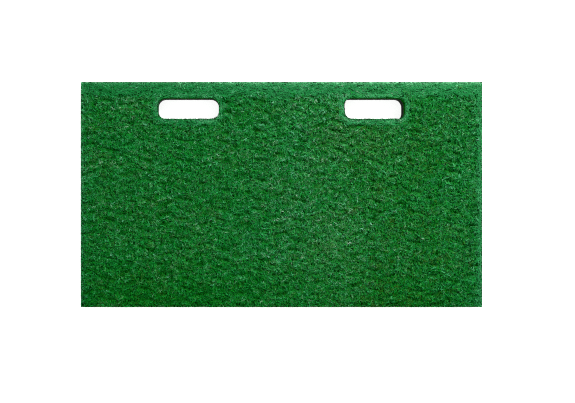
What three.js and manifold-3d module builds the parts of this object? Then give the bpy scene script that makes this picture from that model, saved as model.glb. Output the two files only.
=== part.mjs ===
// Golf hitting mat: a laminated, cut-to-size practice mat with two hand slots.
//
// The mat is a stack of full-size layers that are glued to each other and then
// die-cut in one stroke, so every layer has the same outline and the same two
// slots. Bottom to top: grooved rubber base, glue film, closed-cell foam shock
// pad, glue film, latex coat, woven primary backing, and the crimped nylon pile
// that is tufted through that backing and locked by the latex.
//
// Millimetres. +Z is up, out of the pile. +X runs along the long side. +Y points
// to the long edge that carries the slots. The origin is the middle of the
// footprint, on the plane that the mat lies on.

import * as THREE from 'three';
import { mergeVertices } from 'three/addons/utils/BufferGeometryUtils.js';
import Module from 'manifold-3d';

const wasm = await Module();
wasm.setup();

// ---------------------------------------------------------------- dimensions

const MAT_LENGTH = 610;          // along X, 24 in
const MAT_WIDTH = 342;           // along Y, 13.5 in

// Hand slots: holes through the whole stack, near the +Y edge, with generously
// rounded corners.
const SLOT_LENGTH = 93.5;        // end to end, along X
const SLOT_HEIGHT = 33.5;        // along Y
const SLOT_CORNER = 12;          // corner radius
const SLOT_SPREAD = 142;         // each slot's centre, left and right of the middle
const SLOT_FROM_EDGE = 40.5;     // from the +Y edge to the slot's centre line
const CORNER_SEGMENTS = 10;      // facets on each rounded corner

// Thickness of each layer, in order from the floor up.
const BASE_THICK = 4;            // rubber, grooves included
const BASE_GLUE_THICK = 0.25;
const PAD_THICK = 7;             // closed-cell foam
const PAD_GLUE_THICK = 0.25;
const LATEX_THICK = 1;
const BACKING_THICK = 0.5;       // woven primary backing
const PILE_THICK = 12;           // nylon pile, standing height

// Anti-slip grooves moulded into the underside, running along Y.
const GROOVE_COUNT = 49;
const GROOVE_PITCH = MAT_LENGTH / (GROOVE_COUNT + 1);
const GROOVE_DEPTH = 1;
const GROOVE_MOUTH = 3;          // width at the underside
const GROOVE_FLOOR = 2;          // width at the bottom of the groove

// ------------------------------------------------------------------- outline

const slotY = MAT_WIDTH / 2 - SLOT_FROM_EDGE;

// A slot's path, centred on (cx, cy): a rectangle with rounded corners, its long
// sides parallel to X.
function slotPath(path, cx, cy, length, height, r) {
  const dx = length / 2 - r;
  const dy = height / 2 - r;
  const corners = [[dx, -dy, -Math.PI / 2], [dx, dy, 0], [-dx, dy, Math.PI / 2], [-dx, -dy, Math.PI]];
  let first = true;
  for (const [ox, oy, start] of corners) {
    for (let i = 0; i <= CORNER_SEGMENTS; i++) {
      const a = start + (Math.PI / 2 * i) / CORNER_SEGMENTS;
      const x = cx + ox + r * Math.cos(a);
      const y = cy + oy + r * Math.sin(a);
      if (first) path.moveTo(x, y);
      else path.lineTo(x, y);
      first = false;
    }
  }
  path.closePath();
  return path;
}

// The die-cut outline that all the layers share.
function outline() {
  const x = MAT_LENGTH / 2;
  const y = MAT_WIDTH / 2;
  const shape = new THREE.Shape();
  shape.moveTo(-x, -y);
  shape.lineTo(x, -y);
  shape.lineTo(x, y);
  shape.lineTo(-x, y);
  shape.closePath();
  for (const side of [-1, 1]) {
    shape.holes.push(slotPath(new THREE.Path(), side * SLOT_SPREAD, slotY, SLOT_LENGTH, SLOT_HEIGHT, SLOT_CORNER));
  }
  return shape;
}

function sheetGeometry(thick) {
  return new THREE.ExtrudeGeometry(outline(), { depth: thick, bevelEnabled: false, steps: 1 });
}

// ------------------------------------------------------------ boolean helpers

function toManifold(geometry) {
  const bare = geometry.clone();
  bare.deleteAttribute('normal');
  bare.deleteAttribute('uv');
  const merged = mergeVertices(bare, 1e-4);
  return new wasm.Manifold(new wasm.Mesh({
    numProp: 3,
    vertProperties: new Float32Array(merged.attributes.position.array),
    triVerts: new Uint32Array(merged.index.array),
  }));
}

function fromManifold(solid) {
  const mesh = solid.getMesh();
  const position = new Float32Array(mesh.numVert * 3);
  for (let i = 0; i < mesh.numVert; i++) {
    for (let k = 0; k < 3; k++) position[3 * i + k] = mesh.vertProperties[mesh.numProp * i + k];
  }
  const geometry = new THREE.BufferGeometry();
  geometry.setAttribute('position', new THREE.BufferAttribute(position, 3));
  geometry.setIndex(new THREE.BufferAttribute(new Uint32Array(mesh.triVerts), 1));
  geometry.computeVertexNormals();
  return geometry;
}

// One groove's cutter: a trapezoid bar along Y, wider at the floor side, that
// runs past both long edges and a little below the underside.
function grooveBar(x) {
  const below = 1;
  const slope = (GROOVE_MOUTH - GROOVE_FLOOR) / 2 / GROOVE_DEPTH;
  const wide = GROOVE_MOUTH / 2 + slope * below;
  const profile = new THREE.Shape();
  profile.moveTo(-wide, -below);
  profile.lineTo(wide, -below);
  profile.lineTo(GROOVE_FLOOR / 2, GROOVE_DEPTH);
  profile.lineTo(-GROOVE_FLOOR / 2, GROOVE_DEPTH);
  profile.closePath();
  const length = MAT_WIDTH + 20;
  const bar = new THREE.ExtrudeGeometry(profile, { depth: length, bevelEnabled: false, steps: 1 });
  bar.rotateX(Math.PI / 2);
  bar.translate(x, length / 2, 0);
  return bar;
}

// The rubber base: the die-cut sheet with its grooves.
function rubberBaseGeometry() {
  let solid = toManifold(sheetGeometry(BASE_THICK));
  for (let i = 1; i <= GROOVE_COUNT; i++) {
    solid = solid.subtract(toManifold(grooveBar(-MAT_LENGTH / 2 + i * GROOVE_PITCH)));
  }
  return fromManifold(solid);
}

// -------------------------------------------------------------------- the mat

const mat = new THREE.Group();
let level = 0;

function layer(name, geometry, thick, color, roughness) {
  const material = new THREE.MeshStandardMaterial({ color, roughness, metalness: 0 });
  const mesh = new THREE.Mesh(geometry, material);
  mesh.name = name;
  mesh.position.set(0, 0, level);
  level += thick;
  mat.add(mesh);
}

layer('rubber_base', rubberBaseGeometry(), BASE_THICK, 0x1b1c1b, 0.85);
layer('base_glue_film', sheetGeometry(BASE_GLUE_THICK), BASE_GLUE_THICK, 0xb9a77a, 0.4);
layer('shock_pad', sheetGeometry(PAD_THICK), PAD_THICK, 0x26282a, 0.95);
layer('pad_glue_film', sheetGeometry(PAD_GLUE_THICK), PAD_GLUE_THICK, 0xb9a77a, 0.4);
layer('latex_coat', sheetGeometry(LATEX_THICK), LATEX_THICK, 0x2b2a26, 0.6);
layer('primary_backing', sheetGeometry(BACKING_THICK), BACKING_THICK, 0x20241f, 0.7);
layer('turf_pile', sheetGeometry(PILE_THICK), PILE_THICK, 0x1a652a, 0.75);

export default mat;
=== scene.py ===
# Looks of the golf hitting mat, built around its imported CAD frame.
# Metres, +Z up. The turf is real fibre geometry: tufts of crimped ribbon yarn,
# rooted in a dense core, with a shorn fringe at the mat's and the slots' edges.
import math

import bpy
import numpy as np
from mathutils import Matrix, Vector
from mathutils.geometry import delaunay_2d_cdt


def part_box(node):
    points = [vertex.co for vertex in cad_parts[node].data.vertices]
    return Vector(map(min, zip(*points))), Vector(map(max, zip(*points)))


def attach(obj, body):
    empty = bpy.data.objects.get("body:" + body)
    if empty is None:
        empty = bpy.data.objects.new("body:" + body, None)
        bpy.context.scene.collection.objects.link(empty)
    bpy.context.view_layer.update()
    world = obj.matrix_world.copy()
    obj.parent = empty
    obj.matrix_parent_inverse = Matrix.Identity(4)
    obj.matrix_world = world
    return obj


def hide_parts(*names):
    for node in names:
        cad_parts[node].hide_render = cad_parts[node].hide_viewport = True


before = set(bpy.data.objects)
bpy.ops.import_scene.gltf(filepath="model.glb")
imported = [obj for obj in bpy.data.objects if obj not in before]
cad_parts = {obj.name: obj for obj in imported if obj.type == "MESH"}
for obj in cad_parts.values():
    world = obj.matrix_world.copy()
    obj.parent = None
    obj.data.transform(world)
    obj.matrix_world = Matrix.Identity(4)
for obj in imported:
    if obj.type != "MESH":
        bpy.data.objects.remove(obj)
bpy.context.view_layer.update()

MM = 0.001
SEED = 7301

# ------------------------------------------------------------ the mat's outline
pile_lo, pile_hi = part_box("turf_pile")
PILE_FLOOR, PILE_TOP = pile_lo[2], pile_hi[2]
HALF_X, HALF_Y = pile_hi[0], pile_hi[1]


def slots_of(node):
    """The round-cornered slots of a full-size layer: (centre x, centre y, half length, half height, corner radius)."""
    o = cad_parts[node]
    co = np.empty(len(o.data.vertices) * 3)
    o.data.vertices.foreach_get("co", co)
    co = co.reshape(-1, 3)
    inner = (np.abs(co[:, 0]) < HALF_X - 0.002) & (np.abs(co[:, 1]) < HALF_Y - 0.002)
    found = []
    for side in (-1, 1):
        p = co[inner & (np.sign(co[:, 0]) == side)]
        lo, hi = p.min(0), p.max(0)
        cx, cy, hx, hy = (lo[0] + hi[0]) / 2, (lo[1] + hi[1]) / 2, (hi[0] - lo[0]) / 2, (hi[1] - lo[1]) / 2
        flat_end = np.abs(p[p[:, 0] > hi[0] - 1e-5][:, 1] - cy).max()
        found.append((cx, cy, hx, hy, hy - flat_end))
    return found


SLOTS = slots_of("turf_pile")


def outside_slot(slot, x, y):
    """How far a point is outside one slot's edge, negative inside it."""
    cx, cy, hx, hy, r = slot
    qx, qy = np.abs(x - cx) - (hx - r), np.abs(y - cy) - (hy - r)
    return np.hypot(np.maximum(qx, 0.0), np.maximum(qy, 0.0)) + np.minimum(np.maximum(qx, qy), 0.0) - r


def inside_by(x, y):
    """How far a point is inside the mat's material, negative in a slot or past an edge."""
    d = np.minimum(HALF_X - np.abs(x), HALF_Y - np.abs(y))
    for slot in SLOTS:
        d = np.minimum(d, outside_slot(slot, x, y))
    return d


def outward(x, y):
    """The unit direction towards the nearest edge, and how far that edge is."""
    e = 2e-5
    gx = inside_by(x + e, y) - inside_by(x - e, y)
    gy = inside_by(x, y + e) - inside_by(x, y - e)
    n = np.maximum(np.hypot(gx, gy), 1e-12)
    return -gx / n, -gy / n, inside_by(x, y)


# ------------------------------------------------------------------ noise fields
class Field:
    """Smooth lattice noise from -1 to 1, with its own cell size along X and Y."""

    def __init__(self, seed, size_x, size_y, turn=0.0):
        self.g = np.random.default_rng(SEED + seed).uniform(-1, 1, (256, 256))
        self.sx, self.sy, self.c, self.s = size_x, size_y, math.cos(turn), math.sin(turn)

    def __call__(self, x, y):
        u = (x * self.c + y * self.s) / self.sx + 97.3
        v = (-x * self.s + y * self.c) / self.sy + 61.7
        i, j = np.floor(u).astype(int), np.floor(v).astype(int)
        a, b = u - i, v - j
        a, b = a * a * a * (a * (a * 6 - 15) + 10), b * b * b * (b * (b * 6 - 15) + 10)
        g = self.g
        i0, i1, j0, j1 = i % 256, (i + 1) % 256, j % 256, (j + 1) % 256
        return (g[i0, j0] * (1 - a) + g[i1, j0] * a) * (1 - b) + (
            g[i0, j1] * (1 - a) + g[i1, j1] * a
        ) * b


def layered(seed, size_x, size_y, octaves=3, turn=0.0):
    fields = [
        Field(seed + 31 * k, size_x / 2**k, size_y / 2**k, turn + 0.5 * k)
        for k in range(octaves)
    ]
    total = sum(0.6**k for k in range(octaves))

    def value(x, y):
        return sum(0.6**k * f(x, y) for k, f in enumerate(fields)) / total * 1.6

    return value


lean_a = layered(11, 13 * MM, 11 * MM, 2)
lean_b = layered(12, 13 * MM, 11 * MM, 2)
ridge_1 = layered(21, 34 * MM, 9 * MM, 3, 0.05)
ridge_2 = layered(22, 15 * MM, 8 * MM, 2)
wander = layered(23, 60 * MM, 40 * MM, 2)
tone_big = layered(41, 120 * MM, 90 * MM, 2)
tone_mid = layered(42, 16 * MM, 10 * MM, 3)
hue_mid = layered(43, 22 * MM, 14 * MM, 3)
scuffs = layered(44, 9 * MM, 7 * MM, 2)


# The yarn is tufted in a herringbone: columns of short furrows that slope one way
# and then the other, half a row apart in neighbouring columns.
COLUMN = 29.28 * MM
ROW = 15.12 * MM
FURROW_SLOPE = 0.215
FURROW_HALF = 12.6 * MM
ROW_DRIFT = -0.0068        # the rows run a third of a degree off the long side
FIRST_X, FIRST_Y, NEXT_Y = -3.0 * MM, -0.6 * MM, 6.2 * MM
stray_x = layered(31, 55 * MM, 30 * MM, 2)
stray_y = layered(32, 45 * MM, 30 * MM, 2)
furrow_some = layered(33, 26 * MM, 14 * MM, 2)
furrow_bits = layered(34, 9 * MM, 6 * MM, 2)
wiggle = layered(35, 8 * MM, 9 * MM, 2)


def furrow(x, y):
    """Distance across to the nearest furrow's line, signed, which furrow that is, and how far along it the point is, from -1 to 1 at its ends."""
    x = x + 1.8 * MM * stray_x(x, y)
    y = y + 1.7 * MM * stray_y(x, y) + 0.8 * MM * wiggle(x, y)
    c = np.floor((x - FIRST_X) / COLUMN + 0.5)
    u = x - FIRST_X - c * COLUMN
    odd = np.mod(c, 2)
    line = np.where(odd > 0, NEXT_Y - FURROW_SLOPE * u, FIRST_Y + FURROW_SLOPE * u) + ROW_DRIFT * x
    r = (y - line) / ROW
    row = np.floor(r + 0.5)
    return (r - row) * ROW, row + 1000 * c, u / FURROW_HALF, r


def furrow_depth(x, y, wide=2.9 * MM):
    """From 0 to 1 at a furrow's bottom."""
    across, _, along, _ = furrow(x, y)
    end = np.clip(1.25 - np.abs(along), 0, 0.45) / 0.45
    share = np.clip(0.85 + 0.4 * furrow_some(x, y) + 0.5 * furrow_bits(x, y), 0.1, 1.3)
    return np.exp(-((across / wide) ** 2)) * end * share


def pile_height(x, y):
    """The standing height of the pile's top: the herringbone's furrows, and shoulders at the edges."""
    edge = np.clip(inside_by(x, y) / (4 * MM), 0, 1)
    return PILE_TOP - 0.1 * MM - (2.9 * MM * furrow_depth(x, y) + 0.7 * MM * (1 - ridge_2(x, y))) * (0.25 + 0.75 * edge)


# ------------------------------------------------------------------- mesh makers
def new_mesh(name, verts, faces_flat, per_face, smooth=True):
    me = bpy.data.meshes.new(name)
    n_faces = len(faces_flat) // per_face
    me.vertices.add(len(verts))
    me.vertices.foreach_set("co", np.ascontiguousarray(verts, np.float32).ravel())
    me.loops.add(len(faces_flat))
    me.loops.foreach_set("vertex_index", np.ascontiguousarray(faces_flat, np.int32))
    me.polygons.add(n_faces)
    me.polygons.foreach_set("loop_start", np.arange(0, len(faces_flat), per_face, dtype=np.int32))
    me.polygons.foreach_set("use_smooth", np.full(n_faces, smooth))
    me.update(calc_edges=True)
    me.validate()
    ob = bpy.data.objects.new(name, me)
    bpy.context.scene.collection.objects.link(ob)
    return ob


def loop_points(inset, step):
    """The outline and the slots, moved inward into the material by inset, as closed loops of points with their outward normals."""
    hx, hy = HALF_X - inset, HALF_Y - inset
    loops = []
    corners = [(-hx, -hy), (hx, -hy), (hx, hy), (-hx, hy)]
    pts = []
    for k in range(4):
        a, b = np.array(corners[k]), np.array(corners[(k + 1) % 4])
        n = max(2, round(float(np.linalg.norm(b - a)) / step))
        pts.append(a + (b - a) * (np.arange(n) / n)[:, None])
    loops.append(np.concatenate(pts))
    for cx, cy, sx, sy, r in SLOTS:
        dx, dy, r = sx - r, sy - r, r + inset
        n = max(6, round(math.pi / 2 * r / step))
        path = []
        for k, (ax, ay) in enumerate(((dx, -dy), (dx, dy), (-dx, dy), (-dx, -dy))):
            a = (k - 1) * math.pi / 2 + np.linspace(0, math.pi / 2, n, endpoint=False)
            path.append(np.stack([cx + ax + r * np.cos(a), cy + ay + r * np.sin(a)], 1))
            # the straight side that follows, from this corner's end to the next corner's start
            m = max(2, round(2 * (dx if k % 2 else dy) / step))
            end = k * math.pi / 2
            bx, by = ((dx, dy), (-dx, dy), (-dx, -dy), (dx, -dy))[k]
            p0 = np.array([cx + ax + r * math.cos(end), cy + ay + r * math.sin(end)])
            p1 = np.array([cx + bx + r * math.cos(end), cy + by + r * math.sin(end)])
            path.append(p0 + (p1 - p0) * (np.arange(m) / m)[:, None])
        loops.append(np.concatenate(path)[::-1])
    return loops


def slab(name, inset, z_lo, z_hi, edge_step, inner_step, rows, top=None, side=None):
    """A closed full-size layer. top(x, y) adds height to the upper face, and side(x, y, z) moves the walls in."""
    loops = loop_points(inset, edge_step)
    rim = np.concatenate(loops)
    edges, start = [], 0
    for lp in loops:
        n = len(lp)
        edges += [(start + i, start + (i + 1) % n) for i in range(n)]
        start += n
    gx = np.arange(-HALF_X + inset + inner_step, HALF_X - inset - inner_step / 2, inner_step)
    gy = np.arange(-HALF_Y + inset + inner_step, HALF_Y - inset - inner_step / 2, inner_step)
    grid = np.stack(np.meshgrid(gx, gy), -1).reshape(-1, 2)
    rng = np.random.default_rng(SEED + 5)
    grid += rng.uniform(-0.25, 0.25, grid.shape) * inner_step
    grid = grid[inside_by(grid[:, 0], grid[:, 1]) > inset + 0.45 * inner_step]
    points = [Vector(p) for p in np.concatenate([rim, grid])]
    v2, _, tris, vmap, _, _ = delaunay_2d_cdt(points, edges, [], 0, 1e-9)
    flat = np.array([tuple(v) for v in v2])
    tris = np.array(tris)
    mid = flat[tris].mean(1)
    tris = tris[inside_by(mid[:, 0], mid[:, 1]) > inset - 1e-6]
    a, b, c = flat[tris[:, 0]], flat[tris[:, 1]], flat[tris[:, 2]]
    area = np.cross(b - a, c - a)
    tris[area < 0] = tris[area < 0][:, ::-1]
    tris = tris[np.abs(area) > 1e-14]
    n2 = len(flat)
    lookup = {}
    for i, olds in enumerate(vmap):
        for o in olds:
            lookup[o] = i
    rise = top(flat[:, 0], flat[:, 1]) if top else np.zeros(n2)
    verts = [np.column_stack([flat, np.full(n2, z_lo)]), np.column_stack([flat, z_hi + rise])]
    quads = []
    base = 2 * n2
    start = 0
    for lp in loops:
        n = len(lp)
        ring = np.array([lookup[start + i] for i in range(n)])
        start += n
        nxt = np.roll(np.arange(n), -1)
        levels = [ring]
        for k in range(1, rows):
            f = k / rows
            z = z_lo + (z_hi + rise[ring] - z_lo) * f
            p = np.column_stack([flat[ring], z])
            if side:
                ox, oy, _ = outward(lp[:, 0], lp[:, 1])
                s = side(p[:, 0], p[:, 1], p[:, 2])
                p[:, 0] += ox * s
                p[:, 1] += oy * s
            verts.append(p)
            levels.append(base + np.arange(n))
            base += n
        levels.append(n2 + ring)
        for lower, upper in zip(levels[:-1], levels[1:]):
            quads.append(np.column_stack([lower, lower[nxt], upper[nxt], upper]))
    verts = np.concatenate(verts)
    quads = np.concatenate(quads)
    t2 = np.concatenate([quads[:, [0, 1, 2]], quads[:, [0, 2, 3]]])
    faces = np.concatenate([tris[:, ::-1], tris + n2, t2])
    return new_mesh(name, verts, faces.ravel(), 3)


# --------------------------------------------------------------------- materials
def material(name):
    m = bpy.data.materials.new(name)
    m.use_nodes = True
    nt = m.node_tree
    bsdf = nt.nodes["Principled BSDF"]
    return m, nt, bsdf


def node(nt, kind, **values):
    n = nt.nodes.new(kind)
    for k, v in values.items():
        if k in n.inputs:
            n.inputs[k].default_value = v
        else:
            setattr(n, k, v)
    return n


def ramp(nt, stops, fac, mode="LINEAR"):
    n = nt.nodes.new("ShaderNodeValToRGB")
    r = n.color_ramp
    r.interpolation = mode
    while len(r.elements) < len(stops):
        r.elements.new(0.5)
    for e, (at, colour) in zip(r.elements, stops):
        e.position = at
        e.color = (*colour, 1)
    nt.links.new(fac, n.inputs["Fac"])
    return n.outputs["Color"]


# the yarn's three dye lots, and a brighter combed-out lot that also paints light along the lit edges and round the
# slots, each from its darkest to its lightest tone
DYES = (
    ((0.0, (0.000, 0.130, 0.001)), (0.2, (0.000, 0.166, 0.008)), (0.4, (0.002, 0.202, 0.022)),
     (0.55, (0.016, 0.255, 0.060)), (0.7, (0.054, 0.320, 0.130)), (0.85, (0.128, 0.425, 0.230)), (1.0, (0.260, 0.670, 0.390))),
    ((0.0, (0.000, 0.130, 0.001)), (0.2, (0.000, 0.167, 0.006)), (0.4, (0.006, 0.204, 0.020)),
     (0.55, (0.028, 0.255, 0.058)), (0.7, (0.084, 0.311, 0.126)), (0.85, (0.182, 0.388, 0.222)), (1.0, (0.310, 0.530, 0.350))),
    ((0.0, (0.018, 0.080, 0.001)), (0.2, (0.018, 0.126, 0.006)), (0.4, (0.023, 0.179, 0.022)),
     (0.55, (0.046, 0.231, 0.060)), (0.7, (0.103, 0.290, 0.130)), (0.85, (0.196, 0.362, 0.225)), (1.0, (0.320, 0.480, 0.330))),
    ((0.0, (0.000, 0.128, 0.010)), (0.2, (0.002, 0.168, 0.024)), (0.4, (0.010, 0.206, 0.046)),
     (0.55, (0.027, 0.266, 0.078)), (0.7, (0.058, 0.342, 0.120)), (0.85, (0.108, 0.470, 0.192)), (1.0, (0.240, 0.800, 0.400))),
)


COMBED_AND_LIT_LOT = len(DYES) - 1


def fibre_material(name, specular, rough, low=((0.0, (0.02, 0.58, 0.03)), (0.3, (0.10, 0.64, 0.12)), (0.55, (0.50, 0.76, 0.50)))):
    """Nylon yarn. u picks a yarn's dye lot and tone, and v carries painted light and shade: painted shade low at its
    root and in a furrow, a painted highlight at its tip.
    """
    m, nt, bsdf = material(name)
    uv = node(nt, "ShaderNodeUVMap", uv_map="OFBake")
    sep = nt.nodes.new("ShaderNodeSeparateXYZ")
    nt.links.new(uv.outputs["UV"], sep.inputs["Vector"])
    stops = [((k + 0.01 + 0.98 * t) / len(DYES), c) for k, dye in enumerate(DYES) for t, c in dye]
    tone = ramp(nt, stops, sep.outputs["X"])
    # painted shade for low v, and a painted highlight from the stops above 1 at the tips
    depth = ramp(
        nt,
        list(low) + [(0.8, (1.15, 0.97, 1.06)), (1.0, (1.45, 1.06, 1.22))],
        sep.outputs["Y"],
    )
    mix = node(nt, "ShaderNodeMix", data_type="RGBA", blend_type="MULTIPLY")
    mix.inputs[0].default_value = 1.0
    nt.links.new(tone, mix.inputs[6])
    nt.links.new(depth, mix.inputs[7])
    nt.links.new(mix.outputs[2], bsdf.inputs["Base Color"])
    bsdf.inputs["Roughness"].default_value = rough
    bsdf.inputs["IOR"].default_value = 1.5
    bsdf.inputs["Specular IOR Level"].default_value = specular
    return m


def core_material():
    m, nt, bsdf = material("pile_core")
    co = node(nt, "ShaderNodeTexCoord")
    n = node(nt, "ShaderNodeTexNoise", Scale=900.0, Detail=4.0, Roughness=0.65)
    nt.links.new(co.outputs["Object"], n.inputs["Vector"])
    c = ramp(nt, [(0.3, (0.001, 0.10, 0.003)), (0.7, (0.004, 0.20, 0.012))], n.outputs["Fac"])
    nt.links.new(c, bsdf.inputs["Base Color"])
    bsdf.inputs["Roughness"].default_value = 0.9
    bsdf.inputs["Specular IOR Level"].default_value = 0.1
    return m


# --------------------------------------------------------------------- the tufts
def ribbons(root, heading, length, top_z, width, segs, rng, lie, crimp, roll_sd, curl, splay_end=None):
    """Crimped ribbon yarns, one per root. Returns vertices (n, 2 * (segs + 1), 3)."""
    n = len(root)
    t = (np.arange(segs) + 0.5) / segs
    turn = rng.normal(0, 1, n)[:, None] * curl * (t[None] - 0.2)
    zig = rng.normal(crimp, 0.35 * crimp, (n, segs)) * np.where(np.arange(segs) % 2, 1, -1)[None]
    zig *= rng.choice([-1, 1], n)[:, None]
    side = heading[:, None] + turn + zig
    # steep at the root, lying over towards the tip
    pitch = np.radians(84) * (1 - t[None]) ** lie[:, None] + rng.normal(0, 0.22, (n, segs))
    pitch += np.radians(rng.uniform(-14, 16, n))[:, None] * t[None]
    step = (length / segs)[:, None]
    d = np.stack([np.cos(pitch) * np.cos(side), np.cos(pitch) * np.sin(side), np.sin(pitch)], -1) * step[..., None]
    p = np.concatenate([np.zeros((n, 1, 3)), np.cumsum(d, 1)], 1)
    rise = np.maximum(p[:, :, 2].max(1), 1e-5)
    p[:, :, 2] *= ((top_z - root[:, 2]) / rise)[:, None]
    p += root[:, None]
    tan = np.gradient(p, axis=1)
    tan /= np.maximum(np.linalg.norm(tan, axis=2, keepdims=True), 1e-9)
    flat = np.stack([-np.sin(heading), np.cos(heading), np.zeros(n)], -1)[:, None]
    s = flat - (flat * tan).sum(-1, keepdims=True) * tan
    s /= np.maximum(np.linalg.norm(s, axis=2, keepdims=True), 1e-9)
    b = np.cross(tan, s)
    tt = np.linspace(0, 1, segs + 1)[None]
    roll = rng.normal(0, roll_sd, n)[:, None] + rng.normal(0, min(0.7, 2 * roll_sd), n)[:, None] * tt
    s = s * np.cos(roll)[..., None] + b * np.sin(roll)[..., None]
    w = width[:, None] * np.where(tt < 0.75, 1.0, 1.0 - 0.55 * (tt - 0.75) / 0.25) / 2
    v = np.empty((n, segs + 1, 2, 3))
    v[:, :, 0] = p - s * w[..., None]
    v[:, :, 1] = p + s * w[..., None]
    return v


def ribbon_object(name, v, u0, du, mat, shade):
    n, k = v.shape[:2]
    verts = v.reshape(-1, 3)
    base = (np.arange(n) * 2 * k)[:, None]
    i = (np.arange(k - 1) * 2)[None]
    q = np.stack([base + i, base + i + 1, base + i + 3, base + i + 2], -1).reshape(-1)
    ob = new_mesh(name, verts, q, 4)
    me = ob.data
    uv = me.uv_layers.new(name="OFBake")
    tt = 0.004 + 0.992 * shade
    pt = np.empty((n, k, 2, 2))
    pt[:, :, 0, 0] = u0[:, None]
    pt[:, :, 1, 0] = (u0 + du)[:, None]
    pt[:, :, :, 1] = tt[:, :, None]
    uv.data.foreach_set("uv", pt.reshape(-1, 2)[q].astype(np.float32).ravel())
    me.materials.append(mat)
    return ob


def slot_edge(x, y):
    """How far outside the nearest slot's edge a point is, and 1 below that slot and 0 above it."""
    d, low = np.full(np.shape(x), 1.0), np.zeros(np.shape(x))
    for slot in SLOTS:
        e = outside_slot(slot, x, y)
        low = np.where(e < d, np.clip(0.5 - (y - slot[1]) / slot[3], 0, 1), low)
        d = np.minimum(d, e)
    return np.maximum(d, 0), low


def slot_light_halo(x, y):
    """A patchy ring of painted light round each slot, from 0 to 1: at the rim below a slot, and a little way off it
    elsewhere.
    """
    e, low = slot_edge(x, y)
    return np.exp(-(((e / MM - 4.2 + 2.6 * low) / 2.8) ** 2)) * np.clip(0.7 + 0.45 * tone_mid(1.4 * x + 0.05, 1.4 * y), 0.15, 1)


def trodden(x, y):
    """Small matted spots, mostly to the right, from 0 to 1."""
    return np.clip(2.2 * (scuffs(x, y) - 0.62), 0, 1) * np.clip(0.55 + 0.8 * x / HALF_X, 0.15, 1)


def tone_of(x, y, own):
    """Each yarn's tone from 0 to 1: the mat's broad variation, darker towards the near edge, painted light along the
    far edge, the ends and round the slots, its blotches, and the yarn's own.
    """
    broad = 0.02 * tone_big(x, y) + 0.07 * np.exp(-(((x - 0.045) / 0.075) ** 2)) + 0.02 * np.exp(-(((x + 0.27) / 0.06) ** 2)) - 0.022
    broad -= 0.03 * np.exp(-(((x - 0.2) / 0.05) ** 2)) + 0.02 * np.clip(-x / HALF_X, 0, 1)
    broad += 0.012 * y / HALF_Y - 0.25 * np.clip(-(y / HALF_Y) - 0.55, 0, 1) * (1 - 0.4 * x / HALF_X)
    broad -= 0.13 * trodden(x, y)
    mid = 0.04 * tone_mid(x, y)
    far = HALF_Y - y
    e, low = slot_edge(x, y)
    calm = 0.6 * np.exp(-far / (6 * MM)) + 0.5 * np.exp(-(HALF_X - x) / (3 * MM)) + 0.4 * np.exp(-e / (9 * MM))
    own = np.clip(own, -0.42, 0.36) * (1 - np.clip(calm, 0, 0.8))
    across = x / HALF_X
    # painted light: the pile is paler along the far edge, the ends and round the slots, most of all below a slot
    painted_edge_light = (0.36 + 0.26 * across) * np.exp(-far / (2.6 * MM)) + (0.19 + 0.04 * across) * np.exp(-far / (15 * MM)) * (1 - 0.4 * across**2)
    painted_edge_light += 0.3 * np.exp(-(HALF_X - x) / (3.5 * MM)) + 0.2 * np.exp(-(HALF_X + x) / (3 * MM))
    painted_edge_light += (0.03 + 0.16 * low) * np.exp(-e / (4.5 * MM)) + 0.2 * slot_light_halo(x, y)
    return np.clip(0.45 + broad + mid + painted_edge_light + own, 0.0, 1.0)


def dye_of(x, y, rng, n):
    """Which dye lot each yarn is from: cooler to the left and at the edges, warmer to the right and in patches, and the
    bright combed-out lot, which paints light along the far edge, the ends and round the slots and is used more towards
    the right.
    """
    warm = 0.3 * np.tanh((x + 0.03) / 0.1) - 0.35 * np.clip((x - 0.16) / 0.12, 0, 1) - 0.3 * np.exp(-(((x - 0.03) / 0.07) ** 2)) - 0.02 + 1.0 * trodden(x, y) + 0.45 * hue_mid(x, y) + 0.25 * tone_big(x * 1.6 + 0.3, y * 1.6) + rng.normal(0, 0.6, n)
    warm -= 1.5 * np.exp(-(HALF_Y - y) / (11 * MM)) + 0.7 * np.exp(-slot_edge(x, y)[0] / (5 * MM))
    warm -= 0.8 * np.exp(-(HALF_X - np.abs(x)) / (7 * MM))
    lot = np.where(warm < -0.2, 0, np.where(warm > 0.75, 2, 1))
    # painted light: the bright combed-out lot is chosen along the far edge, the ends and round the slots, and more
    # often towards the right
    combed = np.exp(-(HALF_Y - y) / (9 * MM)) + 0.7 * np.exp(-slot_edge(x, y)[0] / (4 * MM)) + 0.7 * np.exp(-(HALF_X - np.abs(x)) / (5 * MM))
    combed = combed + 0.3 * np.clip((x - 0.1) / 0.18, 0, 1)
    return np.where(rng.random(n) < combed, COMBED_AND_LIT_LOT, lot)


def shade_of(v):
    """Painted light and shade at each point of the ribbons, from 0 to 1: painted shade low in the pile and in the
    furrows, painted light on the crests between them.
    """
    n, k = v.shape[:2]
    c = v.mean(2)
    fx, fy = c[..., 0], c[..., 1]
    furrow_shade = furrow_depth(fx, fy, 3.5 * MM)
    across = furrow(fx, fy)[3]
    crest_light = (0.5 - 0.5 * np.cos(2 * np.pi * across)) * furrow_depth(fx, fy, 30 * MM)
    t = np.linspace(0, 1, k)[None]
    up = np.clip((c[..., 2] - PILE_FLOOR) / (PILE_TOP - PILE_FLOOR), 0, 1)
    stand = 0.25 * t + 0.75 * up
    lit = stand * (0.86 - 0.18 * furrow_shade + 0.17 * crest_light)
    # painted light: the combed-out pile along the far edge and round the slots is painted as standing open to the light
    painted_open_light = (0.4 * np.exp(-(HALF_Y - fy) / (7 * MM)) + 0.3 * slot_light_halo(fx, fy)) * np.clip(up * 2 - 0.8, 0, 1)
    return np.clip(lit + (0.86 - lit) * np.clip(painted_open_light, 0, 1), 0, 1)


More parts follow.
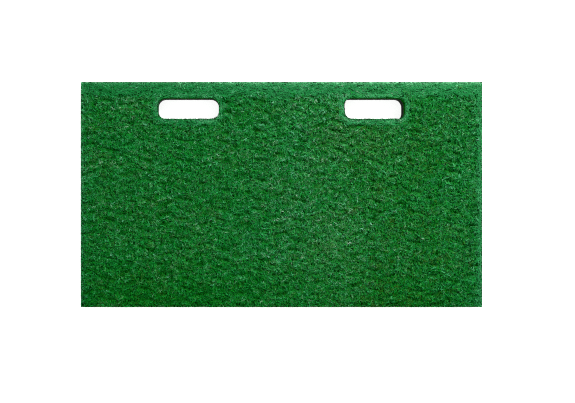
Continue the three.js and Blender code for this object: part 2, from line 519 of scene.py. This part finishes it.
yarn = fibre_material("pile_yarn", 0.05, 0.55)
worn_yarn = fibre_material("pile_yarn_worn", 0.0, 0.95)
# on the shorn sides of the pile the painted shade below the tips is darker and greyer
cut_yarn = fibre_material("pile_yarn_cut", 0.05, 0.7, ((0.0, (0.05, 0.24, 0.05)), (0.3, (0.20, 0.36, 0.20)), (0.55, (0.55, 0.60, 0.52))))
rng = np.random.default_rng(SEED)
CORE_TOP = PILE_FLOOR + 7.4 * MM
PITCH_X, PITCH_Y, PER_TUFT = 4.2 * MM, 3.2 * MM, 8

nx, ny = int(2 * HALF_X / PITCH_X), int(2 * HALF_Y / PITCH_Y)
tx = (np.arange(nx) + 0.5) / nx * 2 * HALF_X - HALF_X
ty = (np.arange(ny) + 0.5) / ny * 2 * HALF_Y - HALF_Y
gx, gy = np.meshgrid(tx, ty)
gx, gy = gx.ravel(), gy.ravel()
gx = gx + rng.normal(0, 0.5 * MM, len(gx))
gy = gy + rng.normal(0, 0.5 * MM, len(gy))
x = np.repeat(gx, PER_TUFT)
y = np.repeat(gy, PER_TUFT)
x = x + rng.normal(0, 0.7 * MM, len(x))
y = y + rng.normal(0, 0.7 * MM, len(y))
ok = inside_by(x, y) > 0.6 * MM
x, y = x[ok], y[ok]
n = len(x)
ox, oy, edge = outward(x, y)
lean = np.arctan2(lean_b(x, y), lean_a(x, y))
heading = lean + rng.normal(0, 1.15, n)
length = rng.uniform(11, 16.5, n) * MM
for reach in (3.0 * MM, 6.0 * MM, 3.0 * MM):
    there = furrow(x + reach * np.cos(heading), y + reach * np.sin(heading))[3]
    crosses = np.floor(there + 0.5) != np.floor(furrow(x, y)[3] + 0.5)
    crosses |= np.abs(there - np.floor(there + 0.5)) < 0.12
    flip = crosses & (rng.random(n) < 0.8) & (furrow_depth(x, y, 6 * MM) > 0.1)
    heading = np.where(flip, -heading, heading)
top_z = pile_height(x, y) + rng.normal(0, 0.55 * MM, n)
# three yarns in ten are broad strands that lie over the others
broad = rng.random(n) < 0.3
top_z += np.where(broad, 0.35 * MM, 0)
width = np.where(broad, rng.uniform(1.2, 1.8, n), rng.uniform(0.5, 0.9, n)) * MM
root = np.stack([x, y, np.full(n, CORE_TOP - 1.2 * MM)], -1)
v = ribbons(root, heading, length, top_z, width, 6, rng, rng.uniform(0.9, 1.9, n), 0.72, 0.6, 1.6)
# the yarns lie down into the furrows
rise = v[..., 2] - (pile_height(v[..., 0], v[..., 1]) + rng.normal(0.3, 0.4, n)[:, None, None] * MM)
v[..., 2] -= np.clip(rise, 0, None) * 0.9
# nothing reaches over a cut edge by more than a little fuzz
for _ in range(3):
    ex, ey, e = outward(v[..., 0], v[..., 1])
    over = np.clip(-(e - 0.1 * MM), 0, None)
    v[..., 0] -= ex * over
    v[..., 1] -= ey * over
# a yarn is coloured by where its tip lies
tip_x, tip_y = v[:, -2:, :, 0].mean((1, 2)), v[:, -2:, :, 1].mean((1, 2))
own = np.where(broad, rng.normal(0.04, 0.125, n), rng.normal(-0.04, 0.14, n))
tone = (dye_of(tip_x, tip_y, rng, n) + 0.01 + 0.96 * tone_of(tip_x, tip_y, own)) / len(DYES)
shade = shade_of(v)

ZONES_X, ZONES_Y = 4, 3
zone = np.clip(((x + HALF_X) / (2 * HALF_X) * ZONES_X).astype(int), 0, ZONES_X - 1) + ZONES_X * np.clip(
    ((y + HALF_Y) / (2 * HALF_Y) * ZONES_Y).astype(int), 0, ZONES_Y - 1
)
tufts = []
for z in range(ZONES_X * ZONES_Y):
    sel = zone == z
    tufts.append(ribbon_object(f"pile_tufts_{z + 1:02d}", v[sel], tone[sel], 0.004, yarn, shade[sel]))

# the edge fringe: short upright yarns along every cut edge, from the backing up
fringe = []
edge_roots = []
for lp in loop_points(0.0, 0.34 * MM):
    edge_roots.append(lp)
er = np.concatenate(edge_roots)
er = np.repeat(er, 3, 0)
n = len(er)
ox, oy, _ = outward(er[:, 0], er[:, 1])
outer = np.arange(n) % 3 == 0
inset = np.where(outer, rng.uniform(0.2, 0.6, n), rng.uniform(0.05, 1.0, n) ** 1.5 * 2.4) * MM
along = rng.normal(0, 0.5 * MM, n)
ex = er[:, 0] - ox * inset - oy * along
ey = er[:, 1] - oy * inset + ox * along
ok = inside_by(ex, ey) > 0.15 * MM
ex, ey, ox, oy, outer = ex[ok], ey[ok], ox[ok], oy[ok], outer[ok]
n = len(ex)
heading = np.arctan2(oy, ox) + np.where(outer, rng.choice([-1.3, 1.3], n) + rng.normal(0, 0.25, n), rng.normal(0, 0.8, n))
root = np.stack([ex, ey, np.full(n, PILE_FLOOR + 0.05 * MM)], -1)
top_z = pile_height(ex, ey) + rng.normal(0.1 * MM, 0.4 * MM, n)
vf = ribbons(root, heading, rng.uniform(12, 15, n) * MM, top_z, np.where(outer, rng.uniform(0.9, 1.4, n), rng.uniform(0.65, 1.0, n)) * MM, 7, rng,
             rng.uniform(0.35, 0.8, n), 0.45, 0.8, 0.9)
# combed-out yarns lie over the others along the far edge, at the right-hand end and round the slots
n_far, n_end, n_slot = 3200, 600, 380
lx = [rng.uniform(-HALF_X, HALF_X, n_far), HALF_X - (0.2 + 5 * rng.random(n_end) ** 1.5) * MM]
ly = [HALF_Y - (0.2 + 20 * rng.random(n_far) ** 1.6) * MM, rng.uniform(-HALF_Y, HALF_Y, n_end)]
for lp in loop_points(0.0, 1 * MM)[1:]:
    at = lp[rng.integers(0, len(lp), n_slot)]
    fx, fy, _ = outward(at[:, 0], at[:, 1])
    off = (0.3 + 6.7 * rng.random(n_slot) ** 1.1) * MM
    lx.append(at[:, 0] - fx * off)
    ly.append(at[:, 1] - fy * off)
lx, ly = np.concatenate(lx), np.concatenate(ly)
ok = inside_by(lx, ly) > 0.15 * MM
lx, ly = lx[ok], ly[ok]
m = len(lx)
fx, fy, _ = outward(lx, ly)
aim = np.arctan2(fx, -fy) + rng.choice([0.0, math.pi], m) + rng.normal(0, 0.4, m)
laid_top = PILE_TOP - rng.uniform(0.1, 0.8, m) * MM
laid = ribbons(np.stack([lx, ly, laid_top - 2.2 * MM], -1), aim, rng.uniform(8, 13, m) * MM, laid_top, rng.uniform(1.0, 1.5, m) * MM, 7, rng,
               rng.uniform(4, 8, m), 0.55, 0.1, 0.7)
laid_x, laid_y = laid[..., 0].mean((1, 2)), laid[..., 1].mean((1, 2))
from_far, from_end = (HALF_Y - laid_y) / MM, (HALF_X - laid_x) / MM
# painted light: the laid yarns are paler towards the far edge, the right-hand end and round the slots
laid_tone = 0.42 + 0.07 * np.exp(-from_far / 9) + 0.15 * np.exp(-from_far / 3) + (0.4 + 0.1 * laid_x / HALF_X) * np.exp(-from_far / 1.1)
laid_tone += 0.07 * np.exp(-from_end / 3) + (0.22 - 0.06 * np.clip(3 * laid_x / HALF_X - 1.4, 0, 1)) * slot_light_halo(laid_x, laid_y) - 0.1 * np.clip(-1.5 * laid_x / HALF_X, 0, 1)
laid_tone = np.clip(laid_tone + rng.normal(0, 0.08, m), 0.02, 0.98)
n_upright = len(vf)
vf = np.concatenate([vf, laid])
ex, ey = np.concatenate([ex, lx]), np.concatenate([ey, ly])
ox, oy, _ = outward(ex, ey)
n = len(ex)
# it may fuzz over an outer edge by half a millimetre and over a slot's by two
slot_near = slot_edge(ex, ey)[0] < 4 * MM
lit = np.clip(0.15 + 0.9 * oy + 0.5 * ox, 0.1, 1)
reach = np.where(slot_near, rng.uniform(0.8, 2.2, n) * lit, rng.uniform(0.2, 0.55, n))[:, None, None] * MM
for _ in range(3):
    fx, fy, e = outward(vf[..., 0], vf[..., 1])
    over = np.clip(-(e + reach), 0, None)
    vf[..., 0] -= fx * over
    vf[..., 1] -= fy * over
fringe_tone = np.minimum(tone_of(ex, ey, rng.normal(0, 0.17, n)), 0.62 + 0.14 * rng.random(n))
fringe_tone[n_upright:] = laid_tone
fringe_dye = dye_of(ex, ey, rng, n)
fringe_dye[n_upright:] = COMBED_AND_LIT_LOT
fringe_tone = (fringe_dye + 0.01 + 0.96 * fringe_tone) / len(DYES)
fringe_shade = shade_of(vf)
# painted light and shade: the tips get a painted highlight, best of all along the far edge, and the yarn below them
# painted shade
below = (PILE_TOP - vf.mean(2)[..., 2]) / MM
fringe_shade *= 1 + 0.16 * np.exp(-(HALF_Y - ey) / (2 * MM))[:, None] * np.clip(1.6 - below, 0, 1)
fringe_shade = np.clip(fringe_shade, 0, 1)
fringe_shade *= 1 - 0.62 * np.clip((below - 1.2) / 4.5, 0, 1)
# painted shade on the slots' walls that face away from the key light, below the tips
painted_wall_shade = np.where(slot_near, np.clip(-0.75 * oy - 0.75 * ox, 0, 1), 0)[:, None]
fringe_shade *= 1 - 0.9 * painted_wall_shade * np.clip((PILE_TOP - 0.8 * MM - vf.mean(2)[..., 2]) / (1.2 * MM), 0, 1)
part = np.where(slot_near, np.where(ex < 0, 3, 4), np.where(np.abs(ey) / HALF_Y > np.abs(ex) / HALF_X, np.where(ey > 0, 0, 1), 2))
for k, label in enumerate(("far", "near", "ends", "left_slot", "right_slot")):
    sel = part == k
    fringe.append(ribbon_object(f"pile_edge_{label}", vf[sel], fringe_tone[sel], 0.004, cut_yarn if k < 3 else worn_yarn, fringe_shade[sel]))

core = slab("pile_core", 0.8 * MM, PILE_FLOOR, CORE_TOP, 3 * MM, 3 * MM, 3,
            top=lambda x, y: 0.6 * MM * ridge_2(x * 1.7, y * 1.7) - 3.4 * MM * furrow_depth(x, y, 2.6 * MM))
core.data.materials.append(core_material())


# ------------------------------------------------------------- the layers below
def layer_material(name, dark, light, grain, rough, bump=0.0, detail=5.0, spots=None, specular=0.5):
    """A cut sheet's material: grainy colour, uneven roughness and a fine surface grain."""
    m, nt, bsdf = material(name)
    co = node(nt, "ShaderNodeTexCoord")
    n = node(nt, "ShaderNodeTexNoise", Scale=grain, Detail=detail, Roughness=0.62)
    nt.links.new(co.outputs["Object"], n.inputs["Vector"])
    col = ramp(nt, [(0.32, dark), (0.68, light)], n.outputs["Fac"])
    if spots:
        cell, at, colour = spots
        vo = node(nt, "ShaderNodeTexVoronoi", Scale=cell, Randomness=1.0)
        nt.links.new(co.outputs["Object"], vo.inputs["Vector"])
        edge = ramp(nt, [(at, (1, 1, 1)), (at + 0.08, (0, 0, 0))], vo.outputs["Distance"])
        mix = node(nt, "ShaderNodeMix", data_type="RGBA", blend_type="MIX")
        nt.links.new(edge, mix.inputs[0])
        nt.links.new(col, mix.inputs[6])
        mix.inputs[7].default_value = (*colour, 1)
        col = mix.outputs[2]
    nt.links.new(col, bsdf.inputs["Base Color"])
    r = ramp(nt, [(0.3, (rough[0],) * 3), (0.7, (rough[1],) * 3)], n.outputs["Fac"])
    nt.links.new(r, bsdf.inputs["Roughness"])
    bsdf.inputs["Specular IOR Level"].default_value = specular
    if bump:
        fine = node(nt, "ShaderNodeTexNoise", Scale=grain * 2.2, Detail=3.0, Roughness=0.7)
        nt.links.new(co.outputs["Object"], fine.inputs["Vector"])
        b = node(nt, "ShaderNodeBump", Strength=bump, Distance=0.0004)
        nt.links.new(fine.outputs["Fac"], b.inputs["Height"])
        nt.links.new(b.outputs["Normal"], bsdf.inputs["Normal"])
    return m


def woven_material():
    """Black tape-yarn backing cloth: warp and weft ribs a millimetre and a half apart."""
    m, nt, bsdf = material("primary_backing")
    co = node(nt, "ShaderNodeTexCoord")
    bands = []
    for turn in (0.0, math.pi / 2):
        mp = node(nt, "ShaderNodeMapping", Rotation=(0, 0, turn))
        w = node(nt, "ShaderNodeTexWave", Scale=105.0, Distortion=0.6, wave_type="BANDS", bands_direction="X")
        nt.links.new(co.outputs["Object"], mp.inputs["Vector"])
        nt.links.new(mp.outputs["Vector"], w.inputs["Vector"])
        bands.append(w.outputs["Fac"])
    top = node(nt, "ShaderNodeMath", operation="MULTIPLY")
    nt.links.new(bands[0], top.inputs[0])
    nt.links.new(bands[1], top.inputs[1])
    c = ramp(nt, [(0.0, (0.006, 0.010, 0.007)), (0.5, (0.016, 0.028, 0.018)), (1.0, (0.040, 0.062, 0.042))], top.outputs[0])
    nt.links.new(c, bsdf.inputs["Base Color"])
    bsdf.inputs["Roughness"].default_value = 0.7
    b = node(nt, "ShaderNodeBump", Strength=0.4, Distance=0.0004)
    nt.links.new(top.outputs[0], b.inputs["Height"])
    nt.links.new(b.outputs["Normal"], bsdf.inputs["Normal"])
    return m


def dress(obj, mat):
    obj.data.materials.clear()
    obj.data.materials.append(mat)


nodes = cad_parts
dress(nodes["rubber_base"], layer_material(
    "rubber", (0.005, 0.007, 0.005), (0.014, 0.018, 0.015), 900.0, (0.7, 0.92), 0.5, spots=(420.0, 0.08, (0.045, 0.045, 0.042)), specular=0.12))
for name in ("base_glue_film", "pad_glue_film"):
    dress(nodes[name], layer_material(name, (0.014, 0.013, 0.009), (0.045, 0.040, 0.026), 500.0, (0.6, 0.8), 0.3, specular=0.12))
dress(nodes["latex_coat"], layer_material(
    "latex", (0.016, 0.024, 0.016), (0.050, 0.068, 0.050), 700.0, (0.8, 0.95), 0.5, spots=(300.0, 0.12, (0.004, 0.022, 0.006)), specular=0.08))
dress(nodes["primary_backing"], woven_material())

# the shock pad is cell foam: its cut walls are pitted by the opened cells
pad_lo, pad_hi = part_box("shock_pad")
cells_a, cells_b = Field(71, 1.5 * MM, 1.3 * MM), Field(72, 0.8 * MM, 1.0 * MM)
cells_c = Field(73, 5 * MM, 2.5 * MM)


def pits(x, y, z):
    s = x + y * 1.37
    g = 0.55 * cells_a(s, z * 1.1) + 0.45 * cells_b(s + 0.01, z) + 0.35 * cells_c(s, z)
    return -0.08 * MM - 0.5 * MM * np.clip(g, 0, 1)


pad = slab("foam_pad", 0.02 * MM, pad_lo[2], pad_hi[2], 0.9 * MM, 14 * MM, 8, side=pits)
dress(pad, layer_material(
    "foam", (0.008, 0.013, 0.009), (0.025, 0.038, 0.028), 1200.0, (0.9, 1.0), 0.7, spots=(1100.0, 0.16, (0.002, 0.002, 0.002)), specular=0.04))
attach(pad, "root")
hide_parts("shock_pad")

for o in tufts + fringe + [core]:
    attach(o, "root")
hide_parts("turf_pile")

# ------------------------------------------------------------------------- stage
bpy.ops.mesh.primitive_plane_add(size=12, location=(0, 0, -0.0004))
floor = bpy.context.object
floor.name = "floor"
m, nt, bsdf = material("floor")
bsdf.inputs["Base Color"].default_value = (0.88, 0.88, 0.88, 1)
bsdf.inputs["Roughness"].default_value = 0.9
bsdf.inputs["Emission Color"].default_value = (1, 1, 1, 1)
bsdf.inputs["Emission Strength"].default_value = 0.8
floor.data.materials.append(m)

world = bpy.data.worlds.new("studio")
bpy.context.scene.world = world
world.use_nodes = True
world.node_tree.nodes["Background"].inputs["Color"].default_value = (1, 1, 1, 1)
world.node_tree.nodes["Background"].inputs["Strength"].default_value = 0.56


def area(name, at, towards, size, power):
    light = bpy.data.lights.new(name, "AREA")
    light.shape = "DISK"
    light.size = size
    light.energy = power
    ob = bpy.data.objects.new(name, light)
    bpy.context.scene.collection.objects.link(ob)
    ob.location = at
    ob.rotation_euler = (Vector(towards) - Vector(at)).to_track_quat("-Z", "Y").to_euler()
    return ob


area("key", (1.0, 1.25, 1.15), (0, 0, 0), 0.9, 54)

scene = bpy.context.scene
scene.view_settings.view_transform = "Standard"
scene.view_settings.look = "None"
scene.cycles.pixel_filter_type = "BLACKMAN_HARRIS"
scene.cycles.filter_width = 1.1
scene.cycles.use_denoising = False

# ------------------------------------------------------------------------ camera
cam = bpy.data.cameras.new("camera")
cam_ob = bpy.data.objects.new("camera", cam)
scene.collection.objects.link(cam_ob)
CAM_ABOVE = 1.020                       # above the pile's top
PIXEL = 2 * HALF_X / 401.0              # at the pile's top
frame_w = 575 * PIXEL
cam.sensor_width = 36
cam.lens = 36 * CAM_ABOVE / frame_w
aim_x = (287.5 - 281.5) * PIXEL
aim_y = (194.5 - 201.5) * PIXEL
cam_x, cam_y = (219.0 - 281.5) * PIXEL, 0.0
cam_ob.location = (cam_x, cam_y, PILE_TOP + CAM_ABOVE)
cam_ob.rotation_euler = (0, 0, 0)
cam.shift_x = (aim_x - cam_x) / frame_w
cam.shift_y = (aim_y - cam_y) / frame_w
cam.clip_start, cam.clip_end = 0.05, 20
scene.camera = cam_ob
